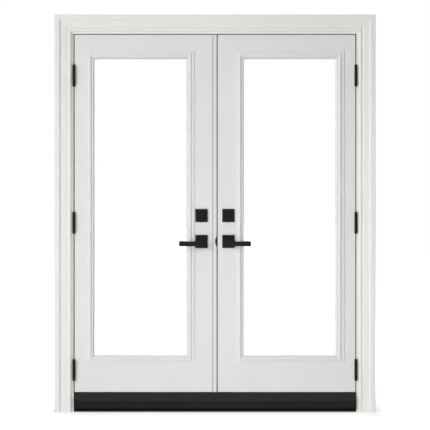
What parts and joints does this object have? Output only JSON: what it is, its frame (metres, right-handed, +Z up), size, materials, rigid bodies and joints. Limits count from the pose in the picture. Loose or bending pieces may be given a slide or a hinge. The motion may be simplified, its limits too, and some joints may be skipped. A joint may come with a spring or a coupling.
{
  "type": "double entry door with frame",
  "caption": "White outward-opening steel double door with glazed leaves in a cased frame, with black sill, hinges, levers and deadbolts; leaves, lever, latch, turn and bolts move.",
  "frame": {"origin": "middle of the sill on the floor, below the outer edge of the jambs", "axes": "+X to the right seen from outside, +Y inward through the doorway, +Z up"},
  "size_m": [1.7552, 0.1739, 2.1725],
  "materials": {
    "door_paint": "satin white paint on folded sheet steel",
    "frame_paint": "satin white paint on milled timber",
    "astragal_paint": "white coated extrusion",
    "lite_moulding": "moulded white plastic",
    "clear_glass": "clear float glass",
    "spacer_metal": "mill finish",
    "stile_wood": "planed softwood",
    "foam_core": "rigid foam",
    "sill_composite": "dark composite",
    "sill_black": "black coated extrusion",
    "seal_rubber": "soft extruded seal",
    "lock_steel": "satin steel",
    "black_hardware": "satin black coating on cast and rolled metal"
  },
  "bodies": {
    "frame": {"jamb_left": "frame_paint", "jamb_right": "frame_paint", "head_jamb": "frame_paint", "casing_left": "frame_paint", "casing_right": "frame_paint", "casing_head": "frame_paint", "sub_sill": "sill_black", "sill_core": "sill_composite", "sill_tread": "sill_black", "sill_dam": "sill_black", "sill_seal": "seal_rubber", "weatherstrips": "seal_rubber", "hinge_jamb_plates": "black_hardware", "hinge_pins": "black_hardware", "bolt_keepers": "lock_steel"},
    "left_leaf": {"left_skin_out": "door_paint", "left_skin_in": "door_paint", "left_stiles": "stile_wood", "left_rails": "stile_wood", "left_core": "foam_core", "left_lite_out": "lite_moulding", "left_lite_in": "lite_moulding", "left_panes": "clear_glass", "left_spacer": "spacer_metal", "left_hinge_plates": "black_hardware", "left_sweep": "seal_rubber", "astragal": "astragal_paint", "astragal_flange": "astragal_paint", "astragal_seal": "seal_rubber", "latch_strike": "black_hardware", "deadbolt_strike": "black_hardware", "left_lever_roses": "black_hardware", "left_deadbolt_roses": "black_hardware", "left_levers": "black_hardware"},
    "top_flush_bolt": {"top_bolt": "lock_steel"},
    "bottom_flush_bolt": {"bottom_bolt": "lock_steel"},
    "right_leaf": {"right_skin_out": "door_paint", "right_skin_in": "door_paint", "right_stiles": "stile_wood", "right_rails": "stile_wood", "right_core": "foam_core", "right_lite_out": "lite_moulding", "right_lite_in": "lite_moulding", "right_panes": "clear_glass", "right_spacer": "spacer_metal", "right_hinge_plates": "black_hardware", "right_sweep": "seal_rubber", "right_lever_roses": "black_hardware", "right_deadbolt_roses": "black_hardware", "lock_chassis": "lock_steel", "latch_case": "lock_steel", "deadbolt_case": "lock_steel"},
    "lever_set": {"right_levers": "black_hardware", "lever_spindle": "lock_steel"},
    "latch": {"latch_bolt": "lock_steel"},
    "key_and_turn": {"key_plug": "lock_steel", "tailpiece": "lock_steel", "thumb_turn": "black_hardware"},
    "deadbolt_slide_bar": {"deadbolt": "lock_steel"}
  },
  "joints": [
    {"name": "left_leaf_swing", "type": "hinge", "parent": "frame", "child": "left_leaf", "pos_m": [-0.77095, -0.009, 0], "axis": [0, 0, -1], "range_deg": [0, 160]},
    {"name": "right_leaf_swing", "type": "hinge", "parent": "frame", "child": "right_leaf", "pos_m": [0.77095, -0.009, 0], "axis": [0, 0, 1], "range_deg": [0, 160]},
    {"name": "lever_turn", "type": "hinge", "parent": "right_leaf", "child": "lever_set", "pos_m": [0.0735, 0, 0.932], "axis": [0, 1, 0], "range_deg": [0, 45], "stiffness_Nm_per_rad": 1.5, "springref_deg": -28.65},
    {"name": "latch_slide", "type": "slide", "parent": "right_leaf", "child": "latch", "axis": [1, 0, 0], "range_m": [0, 0.0127]},
    {"name": "key_turn", "type": "hinge", "parent": "right_leaf", "child": "key_and_turn", "pos_m": [0.0735, 0, 1.074], "axis": [0, 1, 0], "range_deg": [0, 90]},
    {"name": "deadbolt_slide", "type": "slide", "parent": "right_leaf", "child": "deadbolt_slide_bar", "axis": [-1, 0, 0], "range_m": [0, 0.0254]},
    {"name": "top_bolt_slide", "type": "slide", "parent": "left_leaf", "child": "top_flush_bolt", "axis": [0, 0, 1], "range_m": [0, 0.016]},
    {"name": "bottom_bolt_slide", "type": "slide", "parent": "left_leaf", "child": "bottom_flush_bolt", "axis": [0, 0, -1], "range_m": [0, 0.016]}
  ],
  "couplings": [
    {"joint": "latch_slide", "follows": "lever_turn", "m_per_rad": 0.01617},
    {"joint": "deadbolt_slide", "follows": "key_turn", "m_per_rad": 0.01617}
  ]
}
